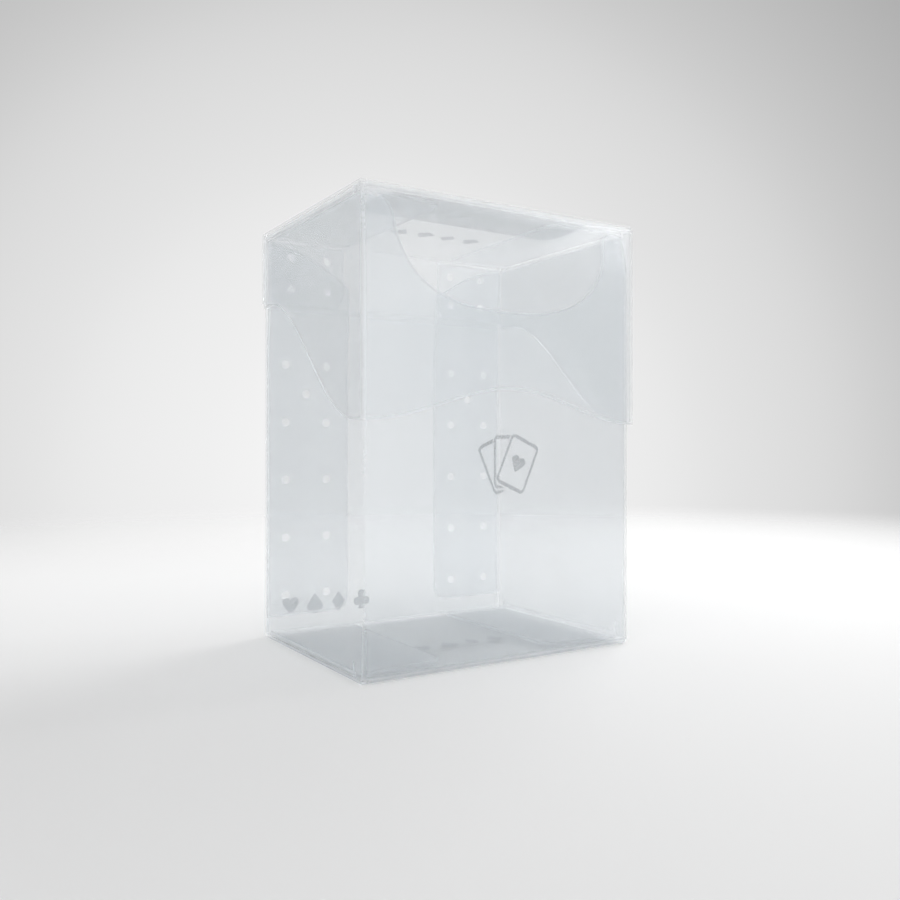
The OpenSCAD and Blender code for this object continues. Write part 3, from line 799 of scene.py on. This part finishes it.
def make_backdrop(studio):
    """The studio round the box: grey by the angle from the brightest direction of the wall."""
    world = bpy.data.worlds.new("Studio")
    world.use_nodes = True
    world.node_tree.nodes.clear()
    nodes = Nodes(world.node_tree)
    place = nodes.add("ShaderNodeTexCoord").outputs["Generated"]
    bright = np.array([-math.sin(studio.glow_turn), math.cos(studio.glow_turn), studio.glow_height])
    bright /= np.linalg.norm(bright)
    cosine = nodes.math("MAXIMUM", nodes.math("MINIMUM", nodes.dot(place, tuple(bright)), 1.0), -1.0)
    share = nodes.math("DIVIDE", nodes.math("ARCCOSINE", cosine), math.pi)
    ramp = nodes.add("ShaderNodeValToRGB", {"Fac": share})
    ramp.color_ramp.interpolation = "CARDINAL"
    # The glow falls off with the square of the angle, and levels out at the walls on each side
    fall = [(degrees, studio.glow - studio.falloff * math.radians(degrees) ** 2)
            for degrees in (0, 10, 20, 30, 40)]
    stops = fall + [(52, studio.wall), (85, studio.side), (180, studio.room)]
    elements = ramp.color_ramp.elements
    while len(elements) < len(stops):
        elements.new(0.5)
    for element, (degrees, grey) in zip(elements, stops):
        element.position = degrees / 180
        element.color = (grey, grey, grey, 1)
    background = nodes.add("ShaderNodeBackground", {"Color": ramp.outputs["Color"]})
    out = nodes.add("ShaderNodeOutputWorld")
    nodes.join(background.outputs["Background"], out.inputs["Surface"])
    bpy.context.scene.world = world


def make_light(name, place, target, size, power):
    """A square soft light at a place, facing a target."""
    light = bpy.data.lights.new(name, "AREA")
    light.size = size
    light.energy = power
    lamp = bpy.data.objects.new(name, light)
    bpy.context.scene.collection.objects.link(lamp)
    lamp.location = place
    lamp.rotation_euler = (Vector(target) - Vector(place)).to_track_quat("-Z", "Y").to_euler()
    return lamp


def make_camera(studio):
    camera = bpy.data.cameras.new("Camera")
    camera.lens = studio.lens
    camera.sensor_width = 36
    camera.shift_y = studio.shift
    camera.clip_start, camera.clip_end = 0.005, 20
    holder = bpy.data.objects.new("Camera", camera)
    bpy.context.scene.collection.objects.link(holder)
    holder.location = studio.camera_place
    holder.rotation_euler = (math.radians(90), 0, studio.camera_turn)
    bpy.context.scene.camera = holder


# ---- Settings ---------------------------------------------------------------------------------

def number(name, description, default, **extra):
    return FloatProperty(name=name, description=description, default=default, **extra)


def length(name, description, default, **extra):
    return number(name, description, default, subtype="DISTANCE", unit="LENGTH", precision=5, **extra)


def share(name, description, default, **extra):
    return number(name, description, default, subtype="FACTOR", min=0, max=1, **extra)


def colour(name, description, default):
    return FloatVectorProperty(name=name, description=description, default=default, subtype="COLOR",
                               min=0, max=1)


class BoxShape(PropertyGroup):
    """What the box's sheet does that its size in the frame doesn't say."""

    notch_width: length("Notch Width", "Width of the thumb notch at its rim", 0.056)
    notch_depth: length("Notch Depth", "Depth of the thumb notch", 0.021)
    notch_square: number("Notch Squareness", "2 is an ellipse, and more is squarer", 2.6)
    notch_lip: length("Notch Lip", "Radius of the corner on each side of the notch", 0.003)
    flap_fall: length("Back Flap Fall", "How far a back flap's top edge falls towards its free side", 0.0092)
    flap_corner: length("Flap Corner", "Radius of a flap's free corners", 0.0035)
    flap_room: length("Back Flap Room", "Room between the box's leaning back flaps and the lid's", 0.00028)
    flap_lean_height: length("Lean Height", "Height over which the back flaps take their lean", 0.0123)
    floor_spring: length("Floor Flap Spring", "How far a floor flap's free side stands up", 0.0004)
    bow: length("Panel Bow", "How far the middle of a panel bows in", 0.00015)
    groove_slope: length("Groove Slope", "Length of the slope on each side of the hinge's groove", 0.0006)


class LidShape(PropertyGroup):
    """What the lid's sheet does that its size in the frame doesn't say."""

    arch: length("Front Arch", "How far the front edge rises in its middle", 0.007)
    side_back: length("Side Height at Back", "Height of a side panel where its edge is highest", 0.0167)
    edge_front: length("Edge Start", "Where a side edge starts to rise, from the front face", 0.003)
    edge_back: length("Edge End", "Where a side edge stops rising, from the back face", 0.0062)
    flap_bevel: length("Back Flap Bevel", "Bevel of a back flap's free corner", 0.00175)
    flap_corner: length("Flap Corner", "Radius of a dust flap's free corners", 0.0035)
    dust_sag: length("Dust Flap Sag", "How far a dust flap's free side hangs down", 0.0004)
    label_corner: length("Label Corner", "Corner radius of the label strip", 0.003)
    label_soft: length("Label Field Edge", "Width of the slope round the label's field", 0.0005)
    bow: length("Panel Bow", "How far the middle of the front panel bows in", 0.00015)
    groove_slope: length("Groove Slope", "Length of the slope on each side of the hinge's groove", 0.0006)


class Finish(PropertyGroup):
    """Colours and veils of the frosted sheet and of what is on it."""

    box_colour: colour("Box Colour", "Tint of the box's sheet", (0.785, 0.835, 0.87))
    # Painted light: the lid's sheet is tinted paler than the box's, though both are one sheet
    lid_colour_painted_lighter: colour("Lid Colour", "Tint of the lid's sheet", (0.895, 0.93, 0.955))
    ink_colour: colour("Ink Colour", "Grey of the print", (0.42, 0.45, 0.47))
    label_colour: colour("Label Colour", "Grey of the label strip", (0.50, 0.53, 0.545))
    box_veil: share("Box Veil", "How much one face of the box's sheet hides", 0.25)
    lid_veil: share("Lid Veil", "How much one face of the lid's sheet hides", 0.24)
    hinge_veil: share("Hinge Veil", "How much one face of the thin hinge hides", 0.3)
    label_veil: share("Label Veil", "How much one face of the label strip hides", 0.3)
    spot_veil: share("Spot Veil", "How much one face of a fused spot hides", 0.04)
    spot_clearing: share("Spot Clearing", "How much of the veil is melted away at a fused spot", 0.2)
    spot_radius: length("Spot Radius", "Radius of a fused spot", 0.0011)
    ink_cover: share("Ink Cover", "How much one face of the print hides", 0.5)
    crease_veil: share("Crease Whitening", "What a crease adds to the veil", 0.04)
    edge_veil: share("Cut Edge Veil", "What a cut edge adds to the veil", 0.09)
    edge_whiteness: share("Cut Edge Whiteness", "How white a cut edge is", 0.25)
    grain_strength: share("Grain Strength", "How much the etched grain varies the veil", 0.008)
    grain_size: length("Grain Size", "Size of the etched grain", 0.0004)
    milkiness: share("Milkiness", "How much of the veiled light goes on through the sheet, scattered", 0.65)
    refraction: number("Refraction", "Index of refraction of the sheet", 1.3, min=1)
    roughness: share("Roughness", "Roughness of the frosted face", 0.34)


class Studio(PropertyGroup):
    """Camera, floor, wall and lights."""

    camera_place: FloatVectorProperty(name="Camera Place", description="Where the camera is", subtype="XYZ",
                                      unit="LENGTH", precision=4, default=(-0.1121, -0.1797, 0.0465))
    camera_turn: number("Camera Turn", "Turn of the level camera", math.radians(-32.32),
        subtype="ANGLE")
    lens: number("Lens", "Focal length in millimetres", 35)
    shift: number("Shift", "Vertical shift of the lens", -0.0024)
    floor_radius: length("Floor Radius", "Where the floor has faded out", 0.55)
    fade_start: length("Floor Fade", "Where the floor starts to fade", 0.10)
    floor_near: share("Floor Tone", "Reflectance of the floor in front of the box", 0.78)
    # Painted light: the floor behind the box is painted this much paler than the floor in front
    floor_far_painted_light: share("Far Floor Tone", "Reflectance of the floor behind the box", 0.98)
    contact_shade: share("Contact Shade", "How bright the floor under the box is, against the rest", 0.85)
    glow_turn: number("Glow Turn", "Turn of the wall's brightest place", math.radians(-28.0),
        subtype="ANGLE")
    glow_height: number("Glow Height", "Slope up to the wall's brightest place", -0.042)
    glow: number("Glow", "Brightness of the wall's brightest place", 0.909)
    falloff: number("Falloff", "How fast the wall darkens away from there", 0.94)
    wall: number("Wall", "Brightness of the wall where the glow ends", 0.38)
    side: number("Sides", "Brightness of the room at the sides", 0.58)
    room: number("Room", "Brightness of the room opposite the wall", 1.0)
    key_place: FloatVectorProperty(name="Key Place", description="Where the key light is", subtype="XYZ",
                                   unit="LENGTH", default=(0.62, 0.15, 0.55))
    key_size: length("Key Size", "Side of the key light", 0.6)
    key_power: number("Key Power", "Power of the key light in watts", 3.7)
    fill_power: number("Fill Power", "Power of the fill light in watts", 0.6)
    overhead_power: number("Overhead Power", "Power of the light above in watts", 0.8)


# ---- Operators --------------------------------------------------------------------------------

class DECKBOX_OT_box_walls(Operator):
    """Fold the box's front, sides and back flaps"""

    bl_idname = "deckbox.box_walls"
    bl_label = "Box Walls"

    def execute(self, context):
        make_box_wrap(context.scene.deck_box_shape)
        return {"FINISHED"}


class DECKBOX_OT_box_floor(Operator):
    """Fold the box's floor and back"""

    bl_idname = "deckbox.box_floor"
    bl_label = "Box Floor and Back"

    def execute(self, context):
        make_box_spine(context.scene.deck_box_shape)
        return {"FINISHED"}


class DECKBOX_OT_floor_flaps(Operator):
    """Fold in the box's two floor flaps"""

    bl_idname = "deckbox.floor_flaps"
    bl_label = "Floor Flaps"

    def execute(self, context):
        shape = context.scene.deck_box_shape
        for node in ("box_left_base_flap", "box_right_base_flap"):
            make_dust_flap(node, "box_pp", "box", shape.flap_corner, shape.floor_spring)
        return {"FINISHED"}


class DECKBOX_OT_hinge(Operator):
    """Make the living hinge between box and lid"""

    bl_idname = "deckbox.hinge"
    bl_label = "Living Hinge"

    def execute(self, context):
        make_hinge()
        return {"FINISHED"}


class DECKBOX_OT_lid_walls(Operator):
    """Fold the lid's front, sides and back flaps"""

    bl_idname = "deckbox.lid_walls"
    bl_label = "Lid Walls"

    def execute(self, context):
        make_lid_wrap(context.scene.deck_lid_shape)
        return {"FINISHED"}


class DECKBOX_OT_lid_top(Operator):
    """Fold the lid's top and back strip"""

    bl_idname = "deckbox.lid_top"
    bl_label = "Lid Top and Back"

    def execute(self, context):
        make_lid_spine(context.scene.deck_lid_shape)
        return {"FINISHED"}


class DECKBOX_OT_dust_flaps(Operator):
    """Fold in the lid's two dust flaps"""

    bl_idname = "deckbox.dust_flaps"
    bl_label = "Dust Flaps"

    def execute(self, context):
        shape = context.scene.deck_lid_shape
        for node in ("lid_left_dust_flap", "lid_right_dust_flap"):
            make_dust_flap(node, "lid_pp", "lid", shape.flap_corner, -shape.dust_sag)
        return {"FINISHED"}


class DECKBOX_OT_print_and_spots(Operator):
    """Finish the print, the fused spots and the label strip"""

    bl_idname = "deckbox.print_and_spots"
    bl_label = "Print, Spots and Label"

    def execute(self, context):
        repaint(("front_print", "back_print", "base_print", "lid_print"), ink_finish())
        spots = [f"{body}_{side}_fused_spots" for body in ("box", "lid") for side in ("left", "right")]
        repaint(spots, spot_finish())
        repaint(("lid_label_strip",), label_finish())
        return {"FINISHED"}


class DECKBOX_OT_stage(Operator):
    """Set up the floor, wall, lights and camera"""

    bl_idname = "deckbox.stage"
    bl_label = "Studio"

    def execute(self, context):
        studio = context.scene.deck_box_studio
        make_floor(studio)
        make_backdrop(studio)
        make_light("Key", studio.key_place, (0.05, 0.05, 0), studio.key_size, studio.key_power)
        make_light("Fill", (-0.5, -0.3, 0.4), (0, 0, 0.05), 0.6, studio.fill_power)
        make_light("Overhead", (0, 0, 1.2), (0, 0, 0), 1.2, studio.overhead_power)
        make_camera(studio)
        scene = context.scene
        # A look through the box meets two see-through faces for every sheet, and two for each print or spot
        scene.cycles.transparent_max_bounces = 48
        scene.cycles.max_bounces = 10
        scene.view_settings.view_transform = "Standard"
        return {"FINISHED"}


STEPS = (
    DECKBOX_OT_box_walls, DECKBOX_OT_box_floor, DECKBOX_OT_floor_flaps, DECKBOX_OT_hinge,
    DECKBOX_OT_lid_walls, DECKBOX_OT_lid_top, DECKBOX_OT_dust_flaps, DECKBOX_OT_print_and_spots,
    DECKBOX_OT_stage,
)


class DECKBOX_PT_sidebar(Panel):
    """The deck box's steps, in the order they are made, and its settings"""

    bl_label = "Card Deck Box"
    bl_idname = "DECKBOX_PT_sidebar"
    bl_space_type = "VIEW_3D"
    bl_region_type = "UI"
    bl_category = "Deck Box"

    def draw(self, context):
        for step in STEPS:
            self.layout.operator(step.bl_idname)
        scene = context.scene
        for group in (scene.deck_box_shape, scene.deck_lid_shape, scene.deck_box_finish,
                      scene.deck_box_studio):
            part = self.layout.box()
            for name in group.bl_rna.properties.keys():
                if name not in ("rna_type", "name"):
                    part.prop(group, name)


GROUPS = (BoxShape, LidShape, Finish, Studio)


def register():
    for cls in GROUPS + STEPS + (DECKBOX_PT_sidebar,):
        bpy.utils.register_class(cls)
    bpy.types.Scene.deck_box_shape = PointerProperty(type=BoxShape)
    bpy.types.Scene.deck_lid_shape = PointerProperty(type=LidShape)
    bpy.types.Scene.deck_box_finish = PointerProperty(type=Finish)
    bpy.types.Scene.deck_box_studio = PointerProperty(type=Studio)


def unregister():
    for name in ("deck_box_shape", "deck_lid_shape", "deck_box_finish", "deck_box_studio"):
        delattr(bpy.types.Scene, name)
    for cls in reversed(GROUPS + STEPS + (DECKBOX_PT_sidebar,)):
        bpy.utils.unregister_class(cls)


def main():
    register()
    for step in STEPS:
        getattr(bpy.ops.deckbox, step.bl_idname.split(".")[1])()


if __name__ == "__main__":
    main()
